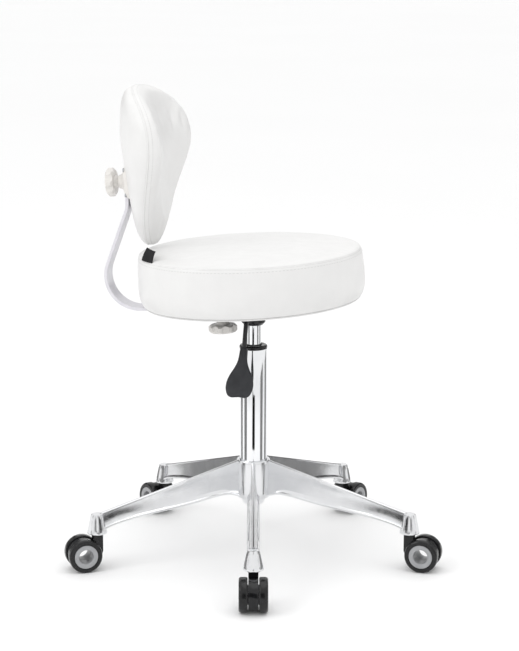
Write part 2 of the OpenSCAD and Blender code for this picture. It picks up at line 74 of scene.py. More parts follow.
# ---------------------------------------------------------------- materials
class Shader:
    """A Principled material whose colour, roughness and relief come from noise in object space."""

    def __init__(self, name, rough, metallic=0.0, coat=0.0, sheen=0.0, specular=0.5):
        self.mat = bpy.data.materials.new(name)
        self.mat.use_nodes = True
        self.nodes = self.mat.node_tree.nodes
        self.links = self.mat.node_tree.links
        self.bsdf = self.nodes["Principled BSDF"]
        self.bsdf.inputs["Metallic"].default_value = metallic
        self.bsdf.inputs["Roughness"].default_value = rough
        self.bsdf.inputs["Coat Weight"].default_value = coat
        self.bsdf.inputs["Coat Roughness"].default_value = 0.08
        self.bsdf.inputs["Sheen Weight"].default_value = sheen
        self.bsdf.inputs["Specular IOR Level"].default_value = specular
        self.coords = self.nodes.new("ShaderNodeTexCoord").outputs["Object"]
        self.relief = None

    def noise(self, scale, detail=3.0, stretch=None):
        source = self.coords
        if stretch:
            mapping = self.nodes.new("ShaderNodeMapping")
            mapping.inputs["Scale"].default_value = stretch
            self.links.new(source, mapping.inputs["Vector"])
            source = mapping.outputs["Vector"]
        node = self.nodes.new("ShaderNodeTexNoise")
        node.inputs["Scale"].default_value = scale
        node.inputs["Detail"].default_value = detail
        self.links.new(source, node.inputs["Vector"])
        return node.outputs["Fac"]

    def cells(self, scale):
        node = self.nodes.new("ShaderNodeTexVoronoi")
        node.feature = "DISTANCE_TO_EDGE"
        node.inputs["Scale"].default_value = scale
        self.links.new(self.coords, node.inputs["Vector"])
        return node.outputs["Distance"]

    def spread(self, value, low, high):
        """Roughness that wanders between low and high."""
        node = self.nodes.new("ShaderNodeMapRange")
        node.inputs["From Min"].default_value = 0.3
        node.inputs["From Max"].default_value = 0.7
        node.inputs["To Min"].default_value = low
        node.inputs["To Max"].default_value = high
        self.links.new(value, node.inputs["Value"])
        self.links.new(node.outputs["Result"], self.bsdf.inputs["Roughness"])

    def colour(self, value, first, second):
        ramp = self.nodes.new("ShaderNodeValToRGB")
        ramp.color_ramp.elements[0].position = 0.32
        ramp.color_ramp.elements[1].position = 0.68
        ramp.color_ramp.elements[0].color = (*first, 1)
        ramp.color_ramp.elements[1].color = (*second, 1)
        self.links.new(value, ramp.inputs["Fac"])
        self.links.new(ramp.outputs["Color"], self.bsdf.inputs["Base Color"])

    def bump(self, value, strength, distance):
        node = self.nodes.new("ShaderNodeBump")
        node.inputs["Strength"].default_value = strength
        node.inputs["Distance"].default_value = distance
        self.links.new(value, node.inputs["Height"])
        if self.relief:
            self.links.new(self.relief, node.inputs["Normal"])
        self.relief = node.outputs["Normal"]
        self.links.new(self.relief, self.bsdf.inputs["Normal"])


def leather(name, first, second, rough=0.4):
    s = Shader(name, rough, specular=0.45, coat=0.06)
    s.colour(s.noise(26, 4), first, second)
    s.spread(s.noise(70), rough - 0.05, rough + 0.07)
    s.bump(s.noise(9, 2), 0.25, 0.0022)
    s.bump(s.noise(34, 3), 0.10, 0.0012)
    s.bump(s.cells(820), 0.16, 0.00025)
    s.bump(s.noise(1900, 2), 0.10, 0.00015)
    return s.mat


def moulded(name, first, second, rough, coat=0.0, grain=0.08, grain_scale=1400, specular=0.5):
    s = Shader(name, rough, coat=coat, specular=specular)
    s.colour(s.noise(60, 4), first, second)
    s.spread(s.noise(45), rough - 0.04, rough + 0.05)
    s.bump(s.noise(grain_scale, 3), grain, 0.00015)
    return s.mat


def metal(name, first, second, rough, brush=None, least=0.7, most=1.5):
    s = Shader(name, rough, metallic=1.0)
    s.colour(s.noise(24, 5), first, second)
    s.spread(s.noise(90, 4, brush), rough * least, rough * most)
    s.bump(s.noise(1600, 3, brush), 0.03, 0.0001)
    return s.mat


def weave(name, first, second, scale):
    s = Shader(name, 0.85, sheen=0.25)
    s.colour(s.noise(scale, 5), first, second)
    s.spread(s.noise(scale * 2), 0.78, 0.95)
    s.bump(s.cells(scale * 1.6), 0.5, 0.0004)
    return s.mat


def plywood(name):
    s = Shader(name, 0.6)
    s.colour(s.noise(18, 6, (1.0, 12.0, 40.0)), (0.62, 0.44, 0.26), (0.43, 0.29, 0.16))
    s.bump(s.noise(120, 4, (1.0, 14.0, 14.0)), 0.2, 0.0004)
    return s.mat


MATS = {
    "vinyl": leather("white_leather", (0.722, 0.719, 0.713), (0.745, 0.742, 0.736)),
    "foam": weave("foam_cells", (0.82, 0.74, 0.50), (0.70, 0.62, 0.40), 900),
    "plywood": plywood("plywood_grain"),
    "liner": weave("liner_felt", (0.018, 0.018, 0.02), (0.04, 0.04, 0.043), 700),
    "tag": moulded("tag_satin", (0.005, 0.005, 0.006), (0.010, 0.010, 0.011), 0.62,
                   0.0, 0.5, 1500, 0.2),
    "bar_paint": moulded("bar_powder_coat", (0.66, 0.65, 0.69), (0.71, 0.70, 0.735), 0.36,
                         0.15, 0.14, 900),
    "knob": moulded("knob_plastic", (0.70, 0.68, 0.65), (0.75, 0.73, 0.70), 0.38, 0.12),
    "black_paint": moulded("black_semi_gloss", (0.008, 0.008, 0.009), (0.016, 0.016, 0.018), 0.33,
                           0.1, 0.12, 800, 0.35),
    "black_gloss": moulded("black_gloss_plastic", (0.005, 0.005, 0.006), (0.010, 0.010, 0.011), 0.16,
                           0.1, 0.03, specular=0.3),
    "black_matt": moulded("charcoal_plastic", (0.020, 0.021, 0.024), (0.032, 0.033, 0.037), 0.5,
                          0.0, 0.3, 1100, 0.3),
    "chrome": metal("chrome_plate", (0.80, 0.81, 0.83), (0.86, 0.87, 0.88), 0.055),
    "zinc_steel": metal("zinc_steel", (0.50, 0.51, 0.53), (0.62, 0.63, 0.64), 0.28, (1, 1, 9)),
    "cast_base": metal("polished_cast", (0.735, 0.74, 0.755), (0.775, 0.78, 0.79), 0.16,
                       None, 0.85, 1.25),
    "hub_grey": moulded("hub_grey_plastic", (0.30, 0.305, 0.315), (0.36, 0.365, 0.375), 0.38, 0.1),
    "tyre": moulded("tyre_gloss", (0.006, 0.006, 0.006), (0.011, 0.011, 0.012), 0.2,
                    0.1, 0.05, 700, 0.3),
    "rubber": moulded("seal_rubber", (0.015, 0.015, 0.016), (0.03, 0.03, 0.03), 0.6),
    "thread": weave("thread_white", (0.52, 0.515, 0.51), (0.66, 0.655, 0.65), 2600),
    # Both seam colours are painted shade of the seam grooves: the darker one for the seat's bottom seam, the
    # lighter one for the seat's top and the pad's rim
    "seam": leather("seam_shadow", (0.42, 0.415, 0.41), (0.52, 0.515, 0.51), 0.6),
    "seam_soft": leather("seam_crease_painted_shade", (0.60, 0.597, 0.59), (0.67, 0.667, 0.66), 0.6),
}


# ---------------------------------------------------------------- mesh helpers
def make(name, verts, faces, slot, body, smooth_angle=35, mat=None):
    mesh = bpy.data.meshes.new(name)
    mesh.from_pydata([tuple(v) for v in verts], [], faces)
    mesh.validate()
    bm = bmesh.new()
    bm.from_mesh(mesh)
    bmesh.ops.remove_doubles(bm, verts=bm.verts, dist=1e-6)
    bmesh.ops.recalc_face_normals(bm, faces=bm.faces)
    bm.to_mesh(mesh)
    bm.free()
    mesh.shade_smooth()
    mesh.set_sharp_from_angle(angle=rad(smooth_angle))
    obj = bpy.data.objects.new(name, mesh)
    scene.collection.objects.link(obj)
    mesh.materials.append(mat or MATS[slot])
    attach(obj, body)
    return obj


def loft(rings, closed_ring=True, cap=True):
    """Faces and points through rings that all have the same number of points."""
    n = len(rings[0])
    verts = [p for ring in rings for p in ring]
    span = n if closed_ring else n - 1
    faces = [(j * n + i, j * n + (i + 1) % n, (j + 1) * n + (i + 1) % n, (j + 1) * n + i)
             for j in range(len(rings) - 1) for i in range(span)]
    if cap:
        faces.append(tuple(range(n - 1, -1, -1)))
        faces.append(tuple((len(rings) - 1) * n + i for i in range(n)))
    return verts, faces


def lathe(profile, steps, matrix, closed_profile=False):
    """Turns (r, z) points in metres about the local Z axis; r = 0 ends close in a point."""
    verts, faces, index = [], [], []
    for r, z in profile:
        row = []
        count = 1 if r < 1e-7 else steps
        for k in range(count):
            a = 2 * math.pi * k / steps
            row.append(len(verts))
            verts.append(matrix @ Vector((r * math.cos(a), r * math.sin(a), z)))
        index.append(row)
    pairs = list(zip(index, index[1:] + (index[:1] if closed_profile else [])))
    if not closed_profile:
        pairs = pairs[:len(index) - 1]
    for low, high in pairs:
        for k in range(steps):
            a, b = low[k % len(low)], low[(k + 1) % len(low)]
            c, d = high[(k + 1) % len(high)], high[k % len(high)]
            face = tuple(dict.fromkeys((a, b, c, d)))
            if len(face) > 2:
                faces.append(face)
    return verts, faces


def tube(spots, radius, sides=8):
    """Closed tube through a loop of (point, outward normal)."""
    n = len(spots)
    rings = []
    for i, (p, out) in enumerate(spots):
        along = (spots[(i + 1) % n][0] - spots[i - 1][0]).normalized()
        side = along.cross(out).normalized()
        out = side.cross(along).normalized()
        rings.append([p + side * (radius * math.cos(2 * math.pi * k / sides))
                      + out * (radius * math.sin(2 * math.pi * k / sides)) for k in range(sides)])
    rings.append(rings[0])
    return loft(rings, cap=False)


def dashes(spots, length, radius, lift=0.0):
    """Short rounded stitches, each at (point, direction along the seam, outward normal)."""
    verts, faces = [], []
    shares = ((-0.5, 0.25), (-0.42, 0.8), (0, 1.0), (0.42, 0.8), (0.5, 0.25))
    for point, along, out in spots:
        side = along.cross(out).normalized()
        rings = []
        for t, s in shares:
            centre = point + along * (length * t) + out * (lift - radius * 0.9 * (2 * t) ** 2)
            rings.append([centre + side * (radius * s * math.cos(k * math.pi / 3))
                          + out * (radius * s * math.sin(k * math.pi / 3)) for k in range(6)])
        v, f = loft(rings)
        start = len(verts)
        verts += v
        faces += [tuple(i + start for i in face) for face in f]
    return verts, faces


def apply_modifiers(obj):
    deps = bpy.context.evaluated_depsgraph_get()
    mesh = bpy.data.meshes.new_from_object(obj.evaluated_get(deps), depsgraph=deps)
    old = obj.data
    obj.modifiers.clear()
    obj.data = mesh
    bpy.data.meshes.remove(old)


VOXEL, PRESSURE, MOST_SWELL, FRAMES = 5 * MM, 4.0, 4 * MM, 20


def puff(obj, pinned):
    """Voxel remesh, then inflate with cloth under pressure; pinned(co) holds the seam bands."""
    bpy.context.view_layer.objects.active = obj
    remesh = obj.modifiers.new("remesh", "REMESH")
    remesh.mode = "VOXEL"
    remesh.voxel_size = VOXEL
    remesh.use_smooth_shade = True
    apply_modifiers(obj)
    start = [v.co.copy() for v in obj.data.vertices]
    group = obj.vertex_groups.new(name="held")
    for i, co in enumerate(start):
        weight = pinned(co)
        if weight > 0:
            group.add([i], weight, "REPLACE")
    cloth = obj.modifiers.new("cloth", "CLOTH")
    cloth.settings.quality = 6
    cloth.settings.mass = 0.3
    cloth.settings.tension_stiffness = 25
    cloth.settings.compression_stiffness = 25
    cloth.settings.shear_stiffness = 12
    cloth.settings.bending_stiffness = 2
    cloth.settings.use_pressure = True
    cloth.settings.uniform_pressure_force = PRESSURE
    cloth.settings.effector_weights.gravity = 0
    cloth.settings.vertex_group_mass = "held"
    cloth.point_cache.frame_start = 1
    cloth.point_cache.frame_end = FRAMES
    for f in range(1, FRAMES + 1):
        scene.frame_set(f)
    deps = bpy.context.evaluated_depsgraph_get()
    moved = [v.co.copy() for v in obj.evaluated_get(deps).data.vertices]
    obj.modifiers.remove(cloth)
    scene.frame_set(1)
    for v, a, b in zip(obj.data.vertices, start, moved):
        step = b - a
        if step.length > MOST_SWELL:
            step *= MOST_SWELL / step.length
        v.co = a + step


def relax(obj):
    """Smooth lightly and subdivide once."""
    smooth = obj.modifiers.new("relax", "SMOOTH")
    smooth.factor = 0.5
    smooth.iterations = 2
    subdiv = obj.modifiers.new("subdivide", "SUBSURF")
    subdiv.levels = subdiv.render_levels = 1
    apply_modifiers(obj)
    obj.data.shade_smooth()


def bvh_of(obj):
    bm = bmesh.new()
    bm.from_mesh(obj.data)
    tree = BVHTree.FromBMesh(bm)
    bm.free()
    return tree


def bell(x, centre, width):
    return math.exp(-((x - centre) / width) ** 2)


def clamp(x):
    return min(1.0, max(0.0, x))


# ---------------------------------------------------------------- seat cushion
slide = Vector(JOINTS["bar_slide"]["axis"])
SEAT_TILT = math.atan2(slide.z, slide.x)
SEAT_Z = 472 * MM
SEAT = Matrix.Translation((0, 0, SEAT_Z)) @ Matrix.Rotation(-SEAT_TILT, 4, "Y")
SEAT_INV = SEAT.inverted()
SEAT_H, RIM_R = 90 * MM, 199.6 * MM
# How far the stuffed cushion sits behind the column axis
SEAT_SHIFT = 1.4 * MM
SEAT_PROFILE = [(0, -0.5), (120, -0.8), (178, -1.2), (187, -1.4), (192, 0.6), (197.4, 6), (201, 15),
                (202.8, 27), (202.8, 42), (202, 60), (200.9, 74), (199.9, 83), (198.8, 88.6),
                (196, 91.2), (189, 92.6), (165, 93.4), (120, 94.6), (60, 95.3), (0, 95.6)]
verts, faces = lathe([(r * MM, z * MM) for r, z in SEAT_PROFILE], 128, SEAT)
cushion = make("seat_cushion", verts, faces, "vinyl", "seat")


def seat_pins(co):
    """The underside and the top seam are held."""
    p = SEAT_INV @ co
    r = math.hypot(p.x, p.y)
    if p.z < 2 * MM:
        return 1.0
    if abs(p.z - SEAT_H) < 4 * MM and r > RIM_R - 5 * MM:
        return 1.0
    return 0.0


puff(cushion, seat_pins)


def seat_rise(x, z):
    """The foam is fuller behind: how much a point at x and height z sits above the even cushion."""
    return (2.6 - 3.0 * x / 0.2) * MM * clamp(z / SEAT_H)


# Fine vertical tucks where the wall panel is sewn on, and slow waves between the seams
for v in cushion.data.vertices:
    p = SEAT_INV @ v.co
    r = math.hypot(p.x, p.y)
    if r < 1 * MM:
        continue
    a = math.atan2(p.y, p.x)
    near = bell(p.z, SEAT_H, 11 * MM) + 0.8 * bell(p.z, 6 * MM, 12 * MM)
    fine = math.sin(61 * a) + 0.6 * math.sin(97 * a + 1.3) + 0.5 * math.sin(23 * a + 0.4)
    slow = math.sin(5 * a + 0.7) + 0.6 * math.sin(9 * a + 2.1)
    grow = 1 + (0.28 * MM * near * fine + 0.5 * MM * slow * bell(p.z, 45 * MM, 30 * MM)) / r
    v.co = SEAT @ Vector((p.x * grow - SEAT_SHIFT, p.y * grow, p.z + seat_rise(p.x, p.z)))
relax(cushion)
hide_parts("seat_cover", "seat_foam")
seat_tree = bvh_of(cushion)


def seat_wall(angle, z, lift=0.0):
    """Point and outward normal of the cushion's wall at an angle and a height in the seat's frame."""
    out = SEAT.to_3x3() @ Vector((math.cos(angle), math.sin(angle), 0))
    centre = SEAT @ Vector((-SEAT_SHIFT, 0, z + seat_rise(RIM_R * math.cos(angle), z)))
    hit, normal, _, _ = seat_tree.ray_cast(centre + out * 0.3, -out)
    return hit + normal * lift, normal


def seat_ring(name, z, radius, lift, mat=None, steps=220):
    spots = [seat_wall(2 * math.pi * k / steps, z, lift) for k in range(steps)]
    return make(name, *tube(spots, radius), "vinyl", "seat", 80, mat)


welt = seat_ring("seat_top_welt", SEAT_H - 1.0 * MM, 1.3 * MM, -0.5 * MM)
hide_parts("seat_welt")
# These seam lines are darker than the vinyl: painted shade along the seat's seams
seat_ring("seat_top_seam", SEAT_H - 3.4 * MM, 0.45 * MM, -0.25 * MM, MATS["seam_soft"])
seat_ring("seat_bottom_seam", 3.0 * MM, 0.8 * MM, -0.1 * MM, MATS["seam"])
seat_ring("seat_bottom_welt", 0.9 * MM, 1.5 * MM, -0.1 * MM)


def stitches(name, body, surface, count, ahead, length, radius):
    """A row of stitches where surface(angle) gives the point and the normal."""
    spots = []
    for k in range(count):
        a = 2 * math.pi * k / count
        here, out = surface(a)
        spots.append((here, (surface(a + ahead)[0] - here).normalized(), out))
    make(name, *dashes(spots, length, radius, 0.1 * MM), "vinyl", body, 80, MATS["thread"])


stitches("seat_top_stitches", "seat", lambda a: seat_wall(a, SEAT_H - 8 * MM), 190, 0.01,
         4.6 * MM, 0.42 * MM)

# ---------------------------------------------------------------- tag in the seat's seam
TAG_ANGLE, TAG_W, TAG_H, TAG_T = rad(215), 46 * MM, 21 * MM, 0.9 * MM
ROWS, COLS = 12, 22
tag_rows = []
for i in range(ROWS + 1):
    t = i / ROWS
    row = []
    for j in range(COLS + 1):
        u = j / COLS - 0.5
        a = TAG_ANGLE + u * TAG_W / RIM_R
        r = RIM_R - 1.5 * MM - (9.5 * t ** 1.3 + 0.8 * math.sin(4 * u + 3 * t)) * MM
        z = SEAT_H - 1.5 * MM + seat_rise(RIM_R * math.cos(a), SEAT_H) + TAG_H * t * (1 - 0.06 * u)
        row.append(SEAT @ Vector((r * math.cos(a) - SEAT_SHIFT, r * math.sin(a), z)))
    tag_rows.append(row)
v, f = loft(tag_rows, closed_ring=False, cap=False)
tag = make("seat_tag_cloth", v, f, "tag", "seat", 60)
thick = tag.modifiers.new("thickness", "SOLIDIFY")
thick.thickness = TAG_T
thick.offset = 0
apply_modifiers(tag)
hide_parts("seat_tag")

# Stitches along the tag's four edges, given by their ends as shares of its height and width
tag_out = (SEAT.to_3x3() @ Vector((math.cos(TAG_ANGLE), math.sin(TAG_ANGLE), 0.3))).normalized()
spots = []
for t0, t1, u0, u1 in ((0.12, 0.12, -0.44, 0.44), (0.9, 0.9, -0.44, 0.44),
                       (0.12, 0.9, -0.44, -0.44), (0.12, 0.9, 0.44, 0.44)):
    level = t0 == t1
    count = 14 if level else 6
    for k in range(count):
        w = (k + 0.5) / count
        i = round((t0 + (t1 - t0) * w) * ROWS)
        j = round((u0 + (u1 - u0) * w + 0.5) * COLS)
        if level:
            along = tag_rows[i][min(j + 1, COLS)] - tag_rows[i][j - 1]
        else:
            along = tag_rows[min(i + 1, ROWS)][j] - tag_rows[i - 1][j]
        spots.append((tag_rows[i][j] + tag_out * 0.5 * MM, along.normalized(), tag_out))
make("seat_tag_stitches", *dashes(spots, 2.0 * MM, 0.25 * MM), "tag", "seat", 80)

# ---------------------------------------------------------------- back pad
PAD_BACK, PAD_Z, PAD_LEAN = 198 * MM, 711 * MM, rad(4.4)
PAD = Matrix.Translation((-PAD_BACK, 0, PAD_Z)) @ Matrix.Rotation(-PAD_LEAN, 4, "Y")
PAD_INV = PAD.inverted()
PAD_H, MID_W, FLARE, CENTRE, WRAP = 290 * MM, 118 * MM, 60 * MM, 0.25, 47 * MM
PAD_T, EDGE_T = 66 * MM, 40 * MM


def wrap(y):
    """How far the pad's curved middle surface comes forward at y."""
    return WRAP * (y / (MID_W + FLARE / 5)) ** 2


def pad_half(s):
    """Half thickness at a share s of the way from the middle to the rim."""
    return (EDGE_T / 2 + (PAD_T - EDGE_T) / 2 * (1 - s * s)) * max(0.0, 1 - s ** 14) ** 0.45


def pad_point(s, a, n, shrink=0.0):
    """Point at share s and direction a, offset n from the middle surface."""
    y = s * math.cos(a) * (MID_W + FLARE * math.sin(a) - shrink)
    v = (PAD_H / 2 - shrink) * (CENTRE + s * (math.sin(a) - CENTRE))
    return PAD @ Vector((n + wrap(y), y, v))


SHARES = [0.15, 0.3, 0.45, 0.58, 0.7, 0.8, 0.87, 0.92, 0.955, 0.98, 0.993, 1]
SIDES = 96
INSET = 0.4 * MM


def pad_ring(s, side):
    n = pad_half(s) - INSET * (s < 0.98)
    return [pad_point(s, 2 * math.pi * k / SIDES, side * n, INSET) for k in range(SIDES)]


rings = [pad_ring(s, 1) for s in SHARES] + [pad_ring(s, -1) for s in reversed(SHARES[:-1])]
verts, faces = loft(rings, cap=False)
first, last = len(verts), len(verts) + 1
verts += [pad_point(0, 0, pad_half(0) - INSET), pad_point(0, 0, INSET - pad_half(0))]
faces += [(first, (i + 1) % SIDES, i) for i in range(SIDES)]
base = (len(rings) - 1) * SIDES
faces += [(last, base + i, base + (i + 1) % SIDES) for i in range(SIDES)]
pad = make("back_cushion", verts, faces, "vinyl", "back_pad")


def pad_pins(co):
    """The rim seam and the panel behind the bracket are held."""
    p = PAD_INV @ co
    if abs(p.x - wrap(p.y)) < 3.5 * MM:
        return 1.0
    if abs(p.y) < 36 * MM and -62 * MM < p.z < 8 * MM and p.x < 0:
        return 1.0
    return 0.0


puff(pad, pad_pins)
# The foam stands fuller in front of the rim seam, and behind it in the upper half
for v in pad.data.vertices:
    p = PAD_INV @ v.co
    middle = p.x - wrap(p.y)
    if middle > 0:
        wing = min(1.0, abs(p.y) / (70 * MM))
        fuller = bell(p.z, 25 * MM, 42 * MM) + 0.9 * bell(p.z, -100 * MM, 45 * MM)
        p.x += clamp(middle / (11 * MM)) * (1.0 + (4.6 * wing + 3.2 * (1 - wing)) * fuller) * MM
    else:
        p.x -= clamp(-middle / (14 * MM)) * 3.2 * MM * clamp((p.z + 10 * MM) / (60 * MM))
    v.co = PAD @ p

# The rear panel dips over the bar's upper end, so that the pad can slide along it
BAR_FRONT = -222.6 * MM
BAR_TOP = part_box("back_bar")[1][2]
DIP_HALF_W, DIP_ABOVE, DIP_EDGE = 30 * MM, 10 * MM, 8 * MM
for v in pad.data.vertices:
    if v.co.x < BAR_FRONT:
        across = clamp((DIP_HALF_W - abs(v.co.y)) / DIP_EDGE)
        down = clamp((BAR_TOP + DIP_ABOVE - v.co.z) / DIP_EDGE)
        v.co.x += (BAR_FRONT - v.co.x) * across * down

# Soft tucks along the rim seam
for v in pad.data.vertices:
    p = PAD_INV @ v.co
    near = bell(p.x - wrap(p.y), 0, 12 * MM)
    a = math.atan2(p.z - 30 * MM, p.y)
    tuck = 0.22 * MM * near * (math.sin(43 * a) + 0.6 * math.sin(71 * a + 1))
    v.co += Vector((0, math.cos(a), math.sin(a))) * tuck
relax(pad)
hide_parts("back_front_pad", "back_rear_pad", "back_board")
pad_tree = bvh_of(pad)


def on_pad(point, lift=0.0):
    hit, normal, _, _ = pad_tree.find_nearest(point)
    return hit + normal * lift, normal


RIM_LINE, RIM_STEPS = -5 * MM, 240


def pad_line(name, share, offset, shrink, radius, mat=None):
    """Raised line round the pad, offset from the welt's own line."""
    spots = [on_pad(pad_point(share, 2 * math.pi * k / RIM_STEPS, RIM_LINE + offset, shrink), -0.3 * MM)
             for k in range(RIM_STEPS)]
    make(name, *tube(spots, radius), "vinyl", "back_pad", 80, mat)


pad_line("back_rim_welt", 1, 0, INSET, 1.2 * MM)
# These seam lines are darker than the vinyl: painted shade along the pad's rim seam
pad_line("back_rim_seam_front", 0.995, 2.2 * MM, 0, 0.4 * MM, MATS["seam_soft"])
pad_line("back_rim_seam_rear", 0.995, -2.2 * MM, 0, 0.4 * MM, MATS["seam_soft"])
stitches("back_rim_stitches", "back_pad", lambda a: on_pad(pad_point(0.99, a, RIM_LINE + 9 * MM)), 170, 0.02,
         4.2 * MM, 0.4 * MM)

# ---------------------------------------------------------------- bracket on the back bar
# Sections across the bracket, in millimetres in the pad's frame:
# distance from the pad's middle surface, half width, lowest, highest, corner radius
BRACKET = [(-17.5, 31.6, -56.6, 3.6, 5), (-26, 31.2, -56.2, 3.2, 7), (-31, 29.4, -54.4, 1.4, 9),
           (-34.6, 26.6, -51.6, -1.4, 11), (-36.6, 23.0, -48.2, -4.8, 12), (-37.4, 19.4, -45.4, -8.6, 16),
           (-38.2, 17.0, -44, -10, 17), (-41.5, 14.6, -41.6, -12.4, 14.6),
           (-45, 12.9, -39.9, -14.1, 12.9), (-48.2, 12.1, -39.1, -14.9, 12.1),
           (-49, 11.4, -38.4, -15.6, 11.4)]
rings = []
for depth, half_w, low, high, corner in BRACKET:
    ring = []
    for k in range(64):
        a = 2 * math.pi * (k + 0.5) / 64
        y = math.copysign(half_w - corner, math.cos(a)) + corner * math.cos(a)
        v = (high - corner if math.sin(a) > 0 else low + corner) + corner * math.sin(a)
        ring.append(PAD @ Vector((depth * MM, y * MM, v * MM)))
    rings.append(ring)
verts, faces = loft(rings)
bracket = make("back_bracket_housing", verts, faces, "knob", "back_pad", 40)
# Slot for the bar
slot_mesh = bpy.data.meshes.new("slot")
slot_box = bpy.data.objects.new("slot", slot_mesh)
scene.collection.objects.link(slot_box)
bm = bmesh.new()
bmesh.ops.create_cube(bm, size=1.0)
bm.to_mesh(slot_mesh)
bm.free()
slot_box.scale = (6.6 * MM, 40.6 * MM, 0.2)
slot_box.location = (BAR_FRONT - 3.9 * MM, 0, PAD_Z - 0.02)
bpy.context.view_layer.update()
cut = bracket.modifiers.new("slot", "BOOLEAN")
cut.operation = "DIFFERENCE"
cut.object = slot_box
cut.solver = "EXACT"
apply_modifiers(bracket)
bpy.data.objects.remove(slot_box)
bracket.data.shade_smooth()
bracket.data.set_sharp_from_angle(angle=rad(40))
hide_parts("back_bracket")

SCREW_PROFILE = [(0, -33.2), (1.6, -33.2), (1.9, -34.2), (3.0, -34.1), (3.9, -33.2), (4.2, -32.0),
                 (2.2, -31.8), (2.2, -12), (0, -12)]
verts, faces = [], []
for y in (-26.5, 26.5):
    for z in (-49, -4):
        place = PAD @ Matrix.Translation((0, y * MM, z * MM)) @ Matrix.Rotation(math.pi / 2, 4, "Y")
        screw_v, screw_f = lathe([(r * MM, d * MM) for r, d in SCREW_PROFILE], 32, place)
        faces += [tuple(i + len(verts) for i in face) for face in screw_f]
        verts += screw_v
screws = make("bracket_screw_set", verts, faces, "zinc_steel", "back_pad", 30)
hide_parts("bracket_screws")

# ---------------------------------------------------------------- star base
FIRST_ARM = math.atan2(*reversed(JOINTS["caster_1_swivel"]["pos_m"][:2]))
STEM_R = math.hypot(*JOINTS["caster_1_swivel"]["pos_m"][:2])
# Heights of an arm's lower edge at distances from the axis, in millimetres
STATIONS = [(26, 110), (36, 113.5), (50, 117), (75, 114.5), (110, 107.5), (150, 100.5), (190, 94.8),
            (225, 89), (262, 80.5), (286, 72)]


def lower_edge(r):
    """Catmull-Rom through the stations, in millimetres."""
    for i in range(len(STATIONS) - 1):
        r0, r1 = STATIONS[i][0], STATIONS[i + 1][0]
        if r <= r1 or i == len(STATIONS) - 2:
            z0, z1 = STATIONS[i][1], STATIONS[i + 1][1]
            before = STATIONS[max(i - 1, 0)]
            after = STATIONS[min(i + 2, len(STATIONS) - 1)]
            m0 = (z1 - before[1]) / (r1 - before[0])
            m1 = (after[1] - z0) / (after[0] - r0)
            t, w = (r - r0) / (r1 - r0), r1 - r0
            return ((2 * t ** 3 - 3 * t ** 2 + 1) * z0 + (t ** 3 - 2 * t ** 2 + t) * w * m0
                    + (3 * t ** 2 - 2 * t ** 3) * z1 + (t ** 3 - t ** 2) * w * m1)


def ridge(r):
    return 179 - 0.294 * (r - 28)


def arm_loop(r):
    """Closed cross-section of an arm at r: crowned ridge, hollow flanks, rolled lip, open below."""
    z1, z0 = ridge(r), lower_edge(r)
    h = z1 - z0
    outer = [(0, z1), (1.2, z1 - 0.1), (2.2, z1 - 0.5), (2.9, z1 - 1.3)]
    for t in (0.08, 0.16, 0.25, 0.35, 0.45, 0.55, 0.65, 0.74, 0.81):
        outer.append((3.1 + 6.4 * t ** 1.7, z1 - 1.8 - (h - 7.2) * t / 0.86))
    outer += [(9.0, z0 + 6.2), (9.6, z0 + 5.0), (10.5, z0 + 4.3), (11.1, z0 + 3.2), (11.2, z0 + 1.2),
              (10.6, z0 + 0.2), (9.6, z0), (8.6, z0 + 0.3), (8.1, z0 + 1.4)]
    inner = [(7.2, z0 + 5), (4.6, z0 + 0.36 * h), (2.4, z0 + 0.66 * h), (0.9, z1 - 7)]
    half = outer + inner
    return half + [(-y, z) for y, z in reversed(half[1:])]


star_v, star_f = [], []


def add(verts, faces, matrix=Matrix.Identity(4)):
    """Join a piece of the casting to the star."""
    start = len(star_v)
    star_v.extend([matrix @ Vector(p) for p in verts])
    star_f.extend([tuple(i + start for i in face) for face in faces])


radii = [26, 28, 31, 35, 40, 46, 52] + [60 + 9.5 * i for i in range(24)] + [283, 287]
arm = loft([[(r * MM, y * MM, z * MM) for y, z in arm_loop(r)] for r in radii])
# Heights, radii and depth of the ten flutes up a boss
BOSS = [(66, 17.4, 0), (66.8, 17.7, 0.02), (70, 17.2, 0.06), (76, 15.9, 0.075), (84, 14.2, 0.08),
        (92, 12.5, 0.08), (98, 11.2, 0.06), (100.4, 10.4, 0.03), (101, 9.4, 0), (101.2, 6, 0)]
boss_rings = []
for z, r, flute in BOSS:
    ring = []
    for k in range(80):
        a = 2 * math.pi * k / 80
        rr = r * (1 - flute * abs(math.sin(5 * a)) ** 0.8 + flute * 0.45)
        ring.append((STEM_R + rr * MM * math.cos(a), rr * MM * math.sin(a), z * MM))
    boss_rings.append(ring)
boss = loft(boss_rings)
for k in range(5):
    turn = Matrix.Rotation(FIRST_ARM + 2 * math.pi * k / 5, 4, "Z")
    add(*arm, turn)
    add(*boss, turn)
HUB_PROFILE = [(24.0, 178.2), (26.5, 179.0), (29.2, 178.7), (30.3, 177.2), (30.4, 172), (30.2, 150),
               (30.1, 120), (30.0, 110.5), (29.2, 108.6), (27.8, 108), (24.2, 108), (23.4, 109), (23.6, 140)]
add(*lathe([(r * MM, z * MM) for r, z in HUB_PROFILE], 96, Matrix.Identity(4), True))
star = make("star_base", star_v, star_f, "cast_base", "base", 38)
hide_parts("base_casting")

